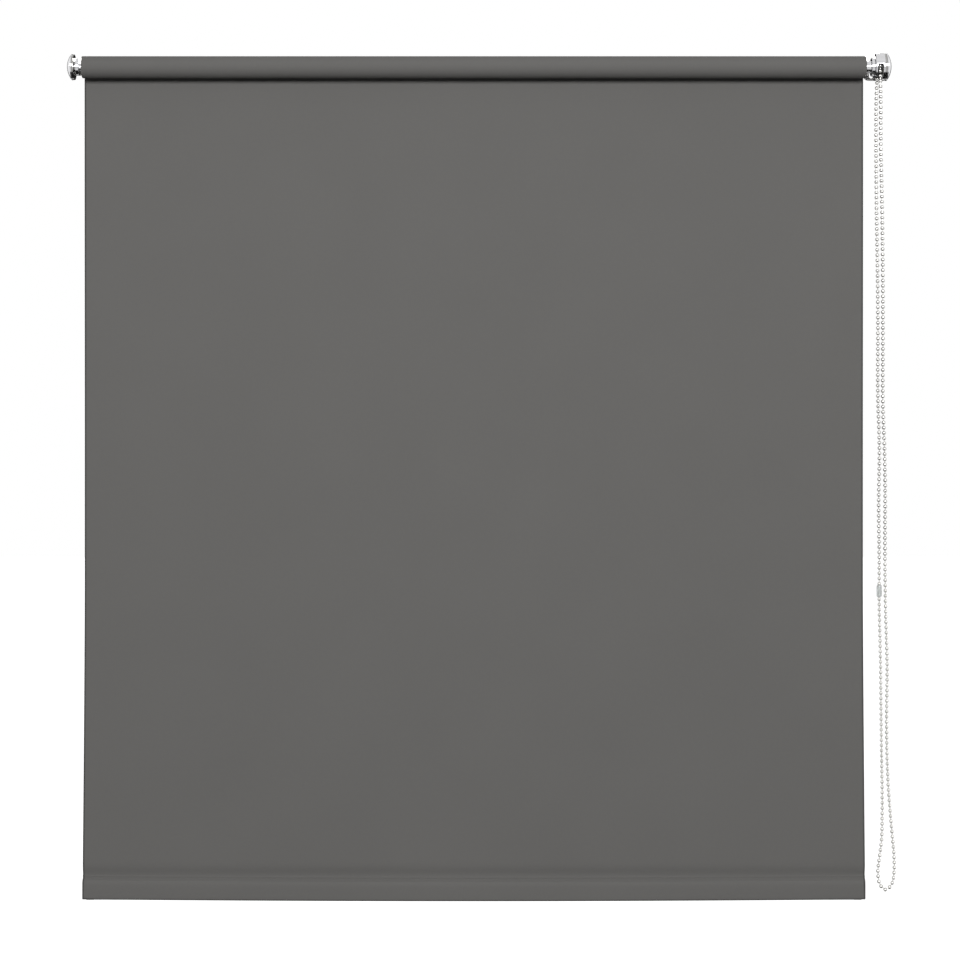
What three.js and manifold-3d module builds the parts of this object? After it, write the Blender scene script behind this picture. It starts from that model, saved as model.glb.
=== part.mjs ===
// Roller blind with a bead-chain drive: a fabric roll on a tube, hung between two wall brackets.
// Millimetres, +Z up, +X towards the chain, -Y towards the room. The origin is on the wall, at the
// height of the roller's axis, midway along the fabric's width.
import * as THREE from "three";
import { mergeVertices } from "three/addons/utils/BufferGeometryUtils.js";
import Module from "manifold-3d";

const wasm = await Module();
wasm.setup();

// ---- driving dimensions -------------------------------------------------------------------------
const GAP = 0.3; // between pieces that touch on the real blind
const FABRIC_WIDTH = 900;
const FABRIC_THICKNESS = 0.42;
const DROP = 961; // roller axis to the hem's lowest edge
const WALL_TO_AXIS = 32;

const TUBE_DIAMETER = 22;
const TUBE_WALL = 1;
const TURNS_LEFT_ON_TUBE = 3; // safety turns that stay wound when the blind is down
const TAPE_THICKNESS = 0.15;
const TAPE_TO_NEIGHBOUR = 0.05; // under and over the tape
const TAPE_ARC_FACETS = 5;
const ROUND_FACETS = 48; // of the tube and the roll, so that the tape lies along their facets

const HEM_HEIGHT = 28;
const HEM_WELD_HEIGHT = 4; // strip where the two layers are welded together, above the pocket
const BAR_HEIGHT = 20;
const BAR_THICKNESS = 4;
const BAR_WALL = 0.9;
const BAR_INSET = 11; // each end of the bar, back from the fabric's edge
const BAR_CAP_HEAD = 9; // length of the end cap outside the bar
const BAR_CAP_TONGUE = 12;

const BRACKET_THICKNESS = 1.5;
const SLOT_WIDTH = 5;
const SLOT_LENGTH = 9;
const DRIVE_PLATE_RADIUS = 15.2;
const DRIVE_FLANGE = { width: 20.4, low: -10, high: 22, lowCorner: 8, highCorner: 12 };
const IDLE_PLATE_RADIUS = 14.5;
const IDLE_FLANGE = { width: 26, low: -4, high: 16, lowCorner: 3, highCorner: 5 };
const DRIVE_ARM = [-12, 15]; // lowest and highest z where the side plate runs into its nose
const IDLE_ARM = [-7, 8];
const DRIVE_COVER_DIAMETER = 31;
const IDLE_COVER_DIAMETER = 29.4;
const COVER_DEPTH = 6.6;
const COVER_RIM = 1.4; // straight part of the cover's edge, before its dome
const COVER_WALL = 1.2;
const COVER_FACETS = 40;

const NECK_DIAMETER = 14;
const NECK_LENGTH = 6.6; // of the crown, beyond the end of the tube
const COLLAR_DIAMETER = 21;
const COLLAR_THICKNESS = 3.7;
const PLUG_CLEARANCE = 0.25; // crown and idle plug in the tube, on the radius
const CROWN_LENGTH = 38;
const CROWN_END_WALL = 2;
const SPINDLE_DIAMETER = 8;
const SLEEVE_WALL = 1.4; // of the sprocket's sleeve around the spindle
const SLEEVE_LENGTH = 31;
const SPINDLE_BASE_THICKNESS = 1.6;
const SPINDLE_BOSS_DIAMETER = 10;
const SPINDLE_BOSS_LENGTH = 3;
const SCREW_DIAMETER = 3;
const SCREW_HEAD_DIAMETER = 7;
const SCREW_HEAD_HEIGHT = 2.6;
const SCREW_LENGTH = 12;
const CLUTCH_WIRE = 1.2;
const CLUTCH_TURNS = 4;
const CLUTCH_SPRINGS = 2;

const HOUSING_DIAMETER = 31;
const HOUSING_WALL = 1.6;
const HOUSING_SIDE = 1.4; // wall on the roller's side
const WINDOW_TOP = 1.8; // the front opening starts this far above the axis
const WINDOW_WIDTH = 7;

const BEAD_DIAMETER = 4.5;
const BEAD_PITCH = 6;
const LINK_DIAMETER = 1;
const POCKETS = 10;
const POCKET_CLEARANCE = 0.3;
const SPROCKET_WIDTH = 5.8;
const SPROCKET_SIDE_GAP = 0.7; // sprocket to housing wall, and to the spindle's base
const LINK_GROOVE_WIDTH = 1.8;
const TOOTH_OVER_PITCH = 0.2; // tooth tips beyond the circle of bead centres
const CONNECTOR_DIAMETER = 6.2;
const CONNECTOR_LENGTH = 14;

const PIN_DIAMETER = 8;
const PIN_FLANGE_DIAMETER = 12;
const PIN_FLANGE_THICKNESS = 1.5;
const PIN_TAIL_DIAMETER = 5;
const PIN_TAIL_LENGTH = 20;
const PIN_REACH = 10.3; // tip beyond the end of the tube
const SOCKET_DIAMETER = 19;
const SOCKET_LENGTH = 3.7; // of its collar
const SOCKET_STANDOFF = 1.9; // collar to the side plate
const SOCKET_NECK_DIAMETER = 14;
const SOCKET_SPIGOT_DIAMETER = 12;
const SOCKET_FROM_TUBE = 3.6;
const RUNNING_CLEARANCE = 0.3; // on the radius, a shaft in its bore
const IDLE_PLUG_LENGTH = 39;
const IDLE_PLUG_MOUTH = 2.4;
const SPRING_SEAT_THICKNESS = 2;
const SPRING_SEAT_INSET = 3;
const IDLE_SPRING_WIRE = 1;
const IDLE_SPRING_TURNS = 8;

// Hanging chain, from the middle of the sprocket: down the room side, round the bottom of the loop,
// and up the wall side. x, y, z.
const CHAIN_FRONT_ROUTE = [
  [0.1, -9.7, -8.6],
  [0.6, -9.7, -45],
  [0.7, -9.7, -95],
  [2.1, -9.7, -160],
  [3, -9.7, -240],
  [3.1, -9.7, -320],
  [3, -9.7, -385],
  [4.9, -9.7, -440],
  [5.7, -9.6, -490],
  [5.5, -9.4, -550],
  [6.1, -9.2, -615],
  [8.1, -8.9, -690],
  [7.5, -8.4, -755],
  [9, -7.8, -815],
  [11.9, -6.8, -855],
  [14.8, -5.4, -885],
  [17, -3.8, -908],
  [17.2, -2.4, -925],
  [14.9, -1.2, -939],
  [8.4, 0, -946.2],
  [1.9, 1.2, -941],
  [-0.5, 2.6, -927.5],
  [1.3, 4, -911],
  [4.2, 5.6, -890],
  [5.4, 7.4, -850],
  [4.8, 8.8, -790],
  [4.3, 9.5, -735],
  [3.7, 9.7, -680],
  [2.7, 9.7, -640],
  [2.2, 9.7, -610.3],
];
const CHAIN_BACK_ROUTE = [
  [2.2, 9.7, -595.7],
  [2.3, 9.7, -560],
  [1.6, 9.7, -505],
  [2.5, 9.7, -440],
  [0.7, 9.7, -375],
  [0.8, 9.7, -300],
  [0.3, 9.7, -235],
  [-0.9, 9.7, -157],
  [-1.4, 9.7, -85],
  [-1.2, 9.7, -38],
  [0, 9.7, -8.6],
];
const CHAIN_FRONT_STEPS = 56;
const CHAIN_BACK_STEPS = 24;
const CHAIN_SIDES = 8;

// ---- places that follow from them ---------------------------------------------------------------
const half = FABRIC_WIDTH / 2;
const tubeRadius = TUBE_DIAMETER / 2;
const tubeBore = tubeRadius - TUBE_WALL;
const tapeRadius = tubeRadius + TAPE_TO_NEIGHBOUR;
const rollInside = tapeRadius + TAPE_THICKNESS + TAPE_TO_NEIGHBOUR;
const rollRadius = rollInside + TURNS_LEFT_ON_TUBE * FABRIC_THICKNESS;
const sheetY = rollRadius + GAP + FABRIC_THICKNESS / 2; // middle of the hanging sheet, from the axis
const hemTop = HEM_HEIGHT - DROP;

const plugRadius = tubeBore - PLUG_CLEARANCE;
const neckRadius = NECK_DIAMETER / 2;
const neckEnd = half + NECK_LENGTH;
const collarLeft = neckEnd + GAP;
const collarRight = collarLeft + COLLAR_THICKNESS;
const housingLeft = collarRight + GAP;
const sprocketLeft = housingLeft + HOUSING_SIDE + SPROCKET_SIDE_GAP;
const sprocketRight = sprocketLeft + SPROCKET_WIDTH;
const beadPlane = (sprocketLeft + sprocketRight) / 2;
const baseLeft = sprocketRight + SPROCKET_SIDE_GAP + GAP;
const baseRight = baseLeft + SPINDLE_BASE_THICKNESS;
const drivePlateLeft = baseRight + GAP;
const drivePlateRight = drivePlateLeft + BRACKET_THICKNESS;
const housingRadius = HOUSING_DIAMETER / 2;
const housingBore = housingRadius - HOUSING_WALL;
const pitchRadius = BEAD_PITCH / (2 * Math.sin(Math.PI / POCKETS));
const beadRadius = BEAD_DIAMETER / 2;

const spindleRadius = SPINDLE_DIAMETER / 2;
const sleeveBore = spindleRadius + RUNNING_CLEARANCE;
const sleeveRadius = sleeveBore + SLEEVE_WALL;
const crownBore = sleeveRadius + RUNNING_CLEARANCE;
const sleeveLeft = sprocketLeft - SLEEVE_LENGTH;
const crownLeft = half - CROWN_LENGTH;
const spindleLeft = crownLeft + CROWN_END_WALL + GAP;

const socketRight = -half - SOCKET_FROM_TUBE;
const socketLeft = socketRight - SOCKET_LENGTH;
const idlePlateRight = socketLeft - SOCKET_STANDOFF;
const idlePlateLeft = idlePlateRight - BRACKET_THICKNESS;
const pinRadius = PIN_DIAMETER / 2;
const pinBore = pinRadius + RUNNING_CLEARANCE;
const plugChamber = PIN_FLANGE_DIAMETER / 2 + RUNNING_CLEARANCE;
const pinTip = -half - PIN_REACH;
const pinFlangeLeft = -half + IDLE_PLUG_MOUTH + GAP;
const pinFlangeRight = pinFlangeLeft + PIN_FLANGE_THICKNESS;
const idlePlugRight = -half + IDLE_PLUG_LENGTH;
const springSeatLeft = idlePlugRight - SPRING_SEAT_INSET - SPRING_SEAT_THICKNESS;

// ---- solids -------------------------------------------------------------------------------------
function solidOf(geometry) {
  const bare = geometry.index ? geometry.toNonIndexed() : geometry.clone();
  bare.deleteAttribute("normal");
  bare.deleteAttribute("uv");
  const merged = mergeVertices(bare, 1e-4);
  const corners = merged.index.array;
  const kept = [];
  for (let i = 0; i < corners.length; i += 3) {
    const [a, b, c] = corners.subarray(i, i + 3);
    if (a !== b && b !== c && a !== c) kept.push(a, b, c);
  }
  return new wasm.Manifold(
    new wasm.Mesh({
      numProp: 3,
      vertProperties: new Float32Array(merged.attributes.position.array),
      triVerts: new Uint32Array(kept),
    }),
  );
}

function geometryOf(solid) {
  const mesh = solid.getMesh();
  const geometry = new THREE.BufferGeometry();
  geometry.setAttribute("position", new THREE.BufferAttribute(mesh.vertProperties, 3));
  geometry.setIndex(new THREE.BufferAttribute(mesh.triVerts, 1));
  return geometry;
}

// A turned piece: [x, radius] points, counter-clockwise with x to the right and the radius up.
function turned(profile, facets = 32) {
  const points = [profile[0], ...[...profile].reverse()].map(([x, r]) => new THREE.Vector2(r, x));
  return solidOf(new THREE.LatheGeometry(points, facets).rotateZ(-Math.PI / 2));
}

function rod(left, right, radius, facets = 32) {
  return turned([[left, 0], [right, 0], [right, radius], [left, radius]], facets);
}

function ring(left, right, bore, radius, facets = 32) {
  return turned([[left, bore], [right, bore], [right, radius], [left, radius]], facets);
}

function box(low, high) {
  const size = high.map((h, i) => h - low[i]);
  const centre = high.map((h, i) => (h + low[i]) / 2);
  return solidOf(new THREE.BoxGeometry(...size).translate(...centre));
}

// An outline in the Y-Z plane, given width along X from left to right.
function alongX(shape, left, right, curveSegments = 12) {
  const geometry = new THREE.ExtrudeGeometry(shape, {
    depth: right - left,
    bevelEnabled: false,
    curveSegments,
  });
  const turn = new THREE.Matrix4().makeBasis(
    new THREE.Vector3(0, 1, 0),
    new THREE.Vector3(0, 0, 1),
    new THREE.Vector3(1, 0, 0),
  );
  return geometry.applyMatrix4(turn).translate(left, 0, 0);
}

function roundedRectangle(low, high, corner) {
  const shape = new THREE.Shape();
  shape.moveTo(low[0] + corner, low[1]);
  shape.absarc(high[0] - corner, low[1] + corner, corner, -Math.PI / 2, 0);
  shape.absarc(high[0] - corner, high[1] - corner, corner, 0, Math.PI / 2);
  shape.absarc(low[0] + corner, high[1] - corner, corner, Math.PI / 2, Math.PI);
  shape.absarc(low[0] + corner, low[1] + corner, corner, Math.PI, Math.PI * 1.5);
  return shape;
}

// Wire wound about the X axis, with flat ends.
function helix(left, right, radius, wire, turns, stepsPerTurn, sides) {
  class Coil extends THREE.Curve {
    getPoint(t, target = new THREE.Vector3()) {
      const angle = t * turns * 2 * Math.PI;
      const x = left + wire / 2 + t * (right - left - wire);
      return target.set(x, radius * Math.cos(angle), radius * Math.sin(angle));
    }
  }
  return tube(new Coil(), wire / 2, turns * stepsPerTurn, sides);
}

function tube(curve, radius, steps, sides) {
  const section = new THREE.Shape();
  for (let i = 0; i < sides; i++) {
    const angle = (i / sides) * 2 * Math.PI;
    const corner = [radius * Math.cos(angle), radius * Math.sin(angle)];
    if (i === 0) section.moveTo(...corner);
    else section.lineTo(...corner);
  }
  section.closePath();
  return new THREE.ExtrudeGeometry(section, { steps, bevelEnabled: false, extrudePath: curve });
}

// ---- the assembly -------------------------------------------------------------------------------
const blind = new THREE.Group();
const axis = new THREE.Group(); // on the roller's axis
axis.position.y = -WALL_TO_AXIS;
blind.add(axis);

const FINISHES = {
  chrome: { color: "#d9dadc", roughness: 0.12, metalness: 1 },
  steel: { color: "#b9bcc0", roughness: 0.35, metalness: 1 },
  aluminium: { color: "#c3c6c9", roughness: 0.4, metalness: 1 },
  whitePlastic: { color: "#e9e9e6", roughness: 0.4, metalness: 0 },
  greyPlastic: { color: "#6a6967", roughness: 0.5, metalness: 0 },
  clearPlastic: { color: "#eef1f2", roughness: 0.1, metalness: 0 },
  fabric: { color: "#696866", roughness: 0.9, metalness: 0 },
  tape: { color: "#d8d2c0", roughness: 0.7, metalness: 0 },
};

function add(parent, name, shape, finish) {
  const geometry = shape.isBufferGeometry ? shape : geometryOf(shape);
  const mesh = new THREE.Mesh(geometry, new THREE.MeshStandardMaterial(FINISHES[finish]));
  mesh.name = name;
  parent.add(mesh);
}

// Roller: tube, tape that holds the fabric's top edge, and the turns that stay wound.
add(axis, "roller_tube", ring(-half, half, tubeBore, tubeRadius, ROUND_FACETS), "steel");
add(axis, "fabric_roll", ring(-half, half, rollInside, rollRadius, ROUND_FACETS), "fabric");

function tapeSection() {
  const shape = new THREE.Shape();
  const facet = (2 * Math.PI) / ROUND_FACETS;
  const angles = Array.from({ length: TAPE_ARC_FACETS + 1 }, (_, i) => i * facet);
  const at = (r, a) => [r * Math.sin(a), r * Math.cos(a)];
  shape.moveTo(...at(tapeRadius, 0));
  for (const a of angles) shape.lineTo(...at(tapeRadius + TAPE_THICKNESS, a));
  for (const a of angles.slice(1).reverse()) shape.lineTo(...at(tapeRadius, a));
  shape.closePath();
  return shape;
}

const sheetLow = [sheetY - FABRIC_THICKNESS / 2, hemTop + GAP];
const sheetHigh = [sheetY + FABRIC_THICKNESS / 2, 0];

function rectangle(low, high) {
  const shape = new THREE.Shape();
  shape.moveTo(low[0], low[1]);
  shape.lineTo(high[0], low[1]);
  shape.lineTo(high[0], high[1]);
  shape.lineTo(low[0], high[1]);
  shape.closePath();
  return shape;
}

add(axis, "fixing_tape", alongX(tapeSection(), -half + 2, half - 2), "tape");
add(axis, "fabric_sheet", alongX(rectangle(sheetLow, sheetHigh), -half, half), "fabric");

// Bottom bar: a flat oval extrusion with a cap in each end, in a pocket welded at its top.
const barHalf = half - BAR_INSET;
const pocketInside = BAR_THICKNESS / 2 + GAP;
const pocketOutside = pocketInside + FABRIC_THICKNESS;
const pocketTop = hemTop - HEM_WELD_HEIGHT;
const pocketInsideLow = -DROP + FABRIC_THICKNESS;
const barLow = pocketInsideLow + GAP;

function hemSection() {
  const shape = new THREE.Shape();
  const weld = FABRIC_THICKNESS; // two layers, one each side of the middle
  const shoulder = pocketTop - (pocketOutside - weld);
  shape.moveTo(sheetY - weld, hemTop);
  shape.lineTo(sheetY - weld, pocketTop);
  shape.lineTo(sheetY - pocketOutside, shoulder);
  shape.absarc(sheetY, -DROP + pocketOutside, pocketOutside, Math.PI, 2 * Math.PI);
  shape.lineTo(sheetY + pocketOutside, shoulder);
  shape.lineTo(sheetY + weld, pocketTop);
  shape.lineTo(sheetY + weld, hemTop);
  shape.closePath();
  const pocket = new THREE.Path();
  pocket.moveTo(sheetY - pocketInside, shoulder - GAP);
  pocket.lineTo(sheetY + pocketInside, shoulder - GAP);
  pocket.absarc(sheetY, pocketInsideLow + pocketInside, pocketInside, 0, -Math.PI, true);
  pocket.closePath();
  shape.holes.push(pocket);
  return shape;
}

function barSection(inset) {
  const side = BAR_THICKNESS / 2 - inset;
  const low = [sheetY - side, barLow + inset];
  const high = [sheetY + side, barLow + BAR_HEIGHT - inset];
  return roundedRectangle(low, high, side);
}

const BAR_CURVE = 6;
const barOutline = barSection(0);
barOutline.holes.push(new THREE.Path(barSection(BAR_WALL).getPoints(BAR_CURVE)));
add(axis, "hem_pocket", alongX(hemSection(), -half, half, 8), "fabric");
add(axis, "bottom_bar", alongX(barOutline, -barHalf, barHalf, BAR_CURVE), "aluminium");

function barCap(side) {
  const head = [barHalf + GAP, barHalf + BAR_CAP_HEAD];
  const tongue = [barHalf - BAR_CAP_TONGUE, barHalf + BAR_CAP_HEAD / 2];
  const ends = ([a, b]) => (side > 0 ? [a, b] : [-b, -a]);
  const headSolid = solidOf(alongX(barSection(0), ...ends(head), BAR_CURVE));
  const tongueSolid = solidOf(alongX(barSection(BAR_WALL + GAP), ...ends(tongue), BAR_CURVE));
  return headSolid.add(tongueSolid);
}

add(axis, "bottom_bar_cap_left", barCap(-1), "greyPlastic");
add(axis, "bottom_bar_cap_right", barCap(1), "greyPlastic");

// Brackets: a wall flange with two screw slots, and a side plate with a round nose on the axis.
function slotHole(centreX, centreZ, upright) {
  const [w, h] = upright ? [SLOT_WIDTH, SLOT_LENGTH] : [SLOT_LENGTH, SLOT_WIDTH];
  const low = [centreX - w / 2, centreZ - h / 2];
  const high = [centreX + w / 2, centreZ + h / 2];
  return roundedRectangle(low, high, SLOT_WIDTH / 2);
}

function towardsRoom(shape, thickness) {
  const options = { depth: thickness, bevelEnabled: false, curveSegments: 6 };
  return new THREE.ExtrudeGeometry(shape, options).rotateX(Math.PI / 2);
}

// inner: the flange's free edge. outer: the side plate's outer face. Both are x.
function bracket(inner, outer, flange, arm, noseRadius, holeRadius, slots) {
  const side = Math.sign(outer);
  const [low, high] = [flange.low, flange.high];
  const plate = new THREE.Shape();
  const [armLow, armHigh] = arm.map((z) => Math.asin(z / noseRadius));
  plate.moveTo(0, low);
  plate.lineTo(0, high);
  plate.absarc(-WALL_TO_AXIS, 0, noseRadius, armHigh, armLow + 2 * Math.PI);
  plate.closePath();
  const hole = new THREE.Path();
  hole.absarc(-WALL_TO_AXIS, 0, holeRadius, 0, 2 * Math.PI, true);
  plate.holes.push(hole);
  const faces = [outer - side * BRACKET_THICKNESS, outer].sort((a, b) => a - b);
  const wall = new THREE.Shape();
  const [edge, lowTurn, highTurn] = [
    outer - (side * BRACKET_THICKNESS) / 2,
    inner + side * flange.lowCorner,
    inner + side * flange.highCorner,
  ];
  wall.moveTo(edge, low);
  wall.lineTo(lowTurn, low);
  wall.quadraticCurveTo(inner, low, inner, low + flange.lowCorner);
  wall.lineTo(inner, high - flange.highCorner);
  wall.quadraticCurveTo(inner, high, highTurn, high);
  wall.lineTo(edge, high);
  wall.closePath();
  wall.holes.push(...slots);
  const plateSolid = solidOf(alongX(plate, ...faces));
  return plateSolid.add(solidOf(towardsRoom(wall, BRACKET_THICKNESS)));
}

const driveInner = drivePlateRight - DRIVE_FLANGE.width;
const driveSlotX = (driveInner + drivePlateLeft) / 2;
const slotInset = SLOT_LENGTH / 2 + 2.5; // slot's middle from the flange's end
const driveSlots = [
  slotHole(driveSlotX, DRIVE_FLANGE.low + slotInset, true),
  slotHole(driveSlotX, DRIVE_FLANGE.high - slotInset, true),
];
const idleInner = idlePlateLeft + IDLE_FLANGE.width;
const idleSlotZ = (IDLE_FLANGE.low + IDLE_FLANGE.high) / 2;
const idleSlots = [
  slotHole(idleInner - slotInset, idleSlotZ, false),
  slotHole(idlePlateRight + slotInset - 1, idleSlotZ, false),
];
const bossRadius = SPINDLE_BOSS_DIAMETER / 2;
const spigotRadius = SOCKET_SPIGOT_DIAMETER / 2;
const driveHole = bossRadius + RUNNING_CLEARANCE;
const idleHole = spigotRadius + RUNNING_CLEARANCE;
add(
  blind,
  "bracket_drive",
  bracket(
    driveInner, drivePlateRight, DRIVE_FLANGE, DRIVE_ARM, DRIVE_PLATE_RADIUS, driveHole, driveSlots,
  ),
  "steel",
);
add(
  blind,
  "bracket_idle",
  bracket(
    idleInner, idlePlateLeft, IDLE_FLANGE, IDLE_ARM, IDLE_PLATE_RADIUS, idleHole, idleSlots,
  ),
  "steel",
);

// Round covers that clip over the outside of each side plate: a short straight rim and a low dome.
function cover(open, side, diameter) {
  const DOME_STEPS = 6;
  const dome = (radius, rim, depth) => {
    const rise = depth - rim;
    const ball = (radius ** 2 + rise ** 2) / (2 * rise);
    const reach = Math.asin(radius / ball);
    return Array.from({ length: DOME_STEPS + 1 }, (_, i) => {
      const a = reach * (1 - i / DOME_STEPS);
      return [rim + ball * Math.cos(a) - (ball - rise), i === DOME_STEPS ? 0 : ball * Math.sin(a)];
    });
  };
  const outside = dome(diameter / 2, COVER_RIM, COVER_DEPTH);
  const inside = dome(diameter / 2 - COVER_WALL, COVER_RIM, COVER_DEPTH - COVER_WALL);
  const profile = [
    [0, diameter / 2 - COVER_WALL],
    ...inside,
    ...outside.reverse(),
    [0, diameter / 2],
  ];
  const placed = profile.map(([x, r]) => [open + side * x, r]);
  return turned(side > 0 ? placed : placed.reverse(), COVER_FACETS);
}

add(axis, "bracket_cover_drive", cover(drivePlateRight + GAP, 1, DRIVE_COVER_DIAMETER), "chrome");
add(axis, "bracket_cover_idle", cover(idlePlateLeft - GAP, -1, IDLE_COVER_DIAMETER), "chrome");

// Chain drive: a fixed spindle on the bracket, and the sprocket whose sleeve turns on it.
const spindleBase = housingBore - GAP;
const screwBore = SCREW_DIAMETER / 2 + GAP;
const screwDepth = SCREW_LENGTH - CROWN_END_WALL; // threaded depth in the spindle
add(
  axis,
  "drive_spindle",
  turned([
    [spindleLeft + screwDepth, 0],
    [baseRight + SPINDLE_BOSS_LENGTH, 0],
    [baseRight + SPINDLE_BOSS_LENGTH, bossRadius],
    [baseRight, bossRadius],
    [baseRight, spindleBase],
    [baseLeft, spindleBase],
    [baseLeft, spindleRadius],
    [spindleLeft, spindleRadius],
    [spindleLeft, screwBore],
    [spindleLeft + screwDepth, screwBore],
  ]),
  "whitePlastic",
);

const screwHeadRight = crownLeft - GAP;
const screwHeadLeft = screwHeadRight - SCREW_HEAD_HEIGHT;
add(
  axis,
  "spindle_screw",
  turned([
    [screwHeadLeft, 0],
    [spindleLeft + screwDepth - GAP, 0],
    [spindleLeft + screwDepth - GAP, SCREW_DIAMETER / 2],
    [screwHeadRight, SCREW_DIAMETER / 2],
    [screwHeadRight, SCREW_HEAD_DIAMETER / 2],
    [screwHeadLeft, SCREW_HEAD_DIAMETER / 2],
  ], 20),
  "steel",
);

const crownScrewHole = SCREW_DIAMETER / 2 + RUNNING_CLEARANCE;
add(
  axis,
  "drive_crown",
  turned([
    [crownLeft, crownScrewHole],
    [crownLeft + CROWN_END_WALL, crownScrewHole],
    [crownLeft + CROWN_END_WALL, crownBore],
    [neckEnd, crownBore],
    [neckEnd, neckRadius],
    [half, neckRadius],
    [half, plugRadius],
    [crownLeft, plugRadius],
  ], ROUND_FACETS),
  "whitePlastic",
);
add(
  axis,
  "drive_collar",
  ring(collarLeft, collarRight, crownBore, COLLAR_DIAMETER / 2, COVER_FACETS),
  "chrome",
);

const clutchSpace = sleeveLeft - GAP - (spindleLeft + GAP);
const clutchLength = (clutchSpace - GAP) / CLUTCH_SPRINGS;
for (let i = 0; i < CLUTCH_SPRINGS; i++) {
  const left = spindleLeft + GAP + i * (clutchLength + GAP);
  const radius = spindleRadius + RUNNING_CLEARANCE + CLUTCH_WIRE / 2;
  const coil = helix(left, left + clutchLength - GAP, radius, CLUTCH_WIRE, CLUTCH_TURNS, 14, 6);
  add(axis, `clutch_spring_${i + 1}`, coil, "steel");
}

// Sprocket: a wheel with a round pocket for each bead and a groove for the links between them.
function pocketAngle(i) {
  return (i / POCKETS) * 2 * Math.PI;
}

function bead(x, angleOrPoint, radius, facets) {
  const [y, z] = angleOrPoint;
  return solidOf(new THREE.SphereGeometry(radius, facets, facets - 3).translate(x, y, z));
}

function onPitchCircle(angle) {
  return [pitchRadius * Math.cos(angle), pitchRadius * Math.sin(angle)];
}

const toothRadius = pitchRadius + TOOTH_OVER_PITCH;
const linkMiddle = pitchRadius * Math.cos(Math.PI / POCKETS); // a link is a chord of the circle
const grooveRadius = linkMiddle - LINK_DIAMETER / 2 - GAP;
let sprocket = turned([
  [sleeveLeft, sleeveBore],
  [sprocketRight, sleeveBore],
  [sprocketRight, toothRadius],
  [beadPlane + LINK_GROOVE_WIDTH / 2, toothRadius],
  [beadPlane + LINK_GROOVE_WIDTH / 2, grooveRadius],
  [beadPlane - LINK_GROOVE_WIDTH / 2, grooveRadius],
  [beadPlane - LINK_GROOVE_WIDTH / 2, toothRadius],
  [sprocketLeft, toothRadius],
  [sprocketLeft, sleeveRadius],
  [sleeveLeft, sleeveRadius],
], COVER_FACETS);
for (let i = 0; i < POCKETS; i++) {
  const place = onPitchCircle(pocketAngle(i));
  sprocket = sprocket.subtract(bead(beadPlane, place, beadRadius + POCKET_CLEARANCE, 10));
}
add(axis, "sprocket", sprocket, "greyPlastic");

// Housing round the sprocket, open in front below the window's top, and underneath for both strands.
const housingBoreAtSleeve = sleeveRadius + RUNNING_CLEARANCE + GAP;
const housing = turned([
  [housingLeft, housingBoreAtSleeve],
  [housingLeft + HOUSING_SIDE, housingBoreAtSleeve],
  [housingLeft + HOUSING_SIDE, housingBore],
  [baseRight, housingBore],
  [baseRight, housingRadius],
  [housingLeft, housingRadius],
], ROUND_FACETS);
const windowLow = beadPlane - WINDOW_WIDTH / 2;
const windowHigh = beadPlane + WINDOW_WIDTH / 2;
const past = housingRadius + 1;
const strandRoom = pitchRadius + beadRadius + GAP; // the strands' outer side, from the axis
const frontWindow = box([windowLow, -past, -past], [windowHigh, -beadRadius, WINDOW_TOP]);
const outlet = box([windowLow, -pitchRadius, -past], [windowHigh, strandRoom, -BEAD_PITCH]);
add(axis, "chain_housing", housing.subtract(frontWindow).subtract(outlet), "chrome");

// Chain over the sprocket: half a turn of beads in their pockets, and one more on each strand.
function link(from, to) {
  const path = new THREE.LineCurve3(new THREE.Vector3(...from), new THREE.Vector3(...to));
  return solidOf(tube(path, LINK_DIAMETER / 2, 1, 6));
}

const wrapPlaces = [[pitchRadius, -BEAD_PITCH]];
for (let i = 0; i <= POCKETS / 2; i++) wrapPlaces.push(onPitchCircle(pocketAngle(i)));
wrapPlaces.push([-pitchRadius, -BEAD_PITCH]);
let wrap = bead(beadPlane, wrapPlaces[0], beadRadius, 10);
for (let i = 1; i < wrapPlaces.length; i++) {
  wrap = wrap.add(bead(beadPlane, wrapPlaces[i], beadRadius, 10));
  wrap = wrap.add(link([beadPlane, ...wrapPlaces[i - 1]], [beadPlane, ...wrapPlaces[i]]));
}
add(axis, "chain_on_sprocket", wrap, "chrome");

function strand(route, steps) {
  const curve = new THREE.CatmullRomCurve3(route.map((p) => new THREE.Vector3(...p)));
  return tube(curve, beadRadius, steps, CHAIN_SIDES);
}

const hanging = new THREE.Group(); // at the middle of the sprocket
hanging.position.x = beadPlane;
axis.add(hanging);
add(hanging, "chain_front", strand(CHAIN_FRONT_ROUTE, CHAIN_FRONT_STEPS), "chrome");
add(hanging, "chain_back", strand(CHAIN_BACK_ROUTE, CHAIN_BACK_STEPS), "chrome");

// Connector that closes the chain into a loop: a capsule between the two chain ends.
const connectorAt = CHAIN_BACK_ROUTE[0];
const connectorMiddle = connectorAt[2] - GAP - CONNECTOR_LENGTH / 2;
const connectorRound = CONNECTOR_DIAMETER / 3;
const connectorHalf = CONNECTOR_LENGTH / 2;
const connectorProfile = [
  new THREE.Vector2(0, -connectorHalf),
  new THREE.Vector2(CONNECTOR_DIAMETER / 2 - connectorRound / 2, -connectorHalf),
  new THREE.Vector2(CONNECTOR_DIAMETER / 2, -connectorHalf + connectorRound),
  new THREE.Vector2(CONNECTOR_DIAMETER / 2, connectorHalf - connectorRound),
  new THREE.Vector2(CONNECTOR_DIAMETER / 2 - connectorRound / 2, connectorHalf),
  new THREE.Vector2(0, connectorHalf),
];
const connector = new THREE.LatheGeometry(connectorProfile, 20)
  .rotateX(Math.PI / 2)
  .translate(connectorAt[0], connectorAt[1], connectorMiddle);
add(hanging, "chain_connector", solidOf(connector), "clearPlastic");

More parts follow.
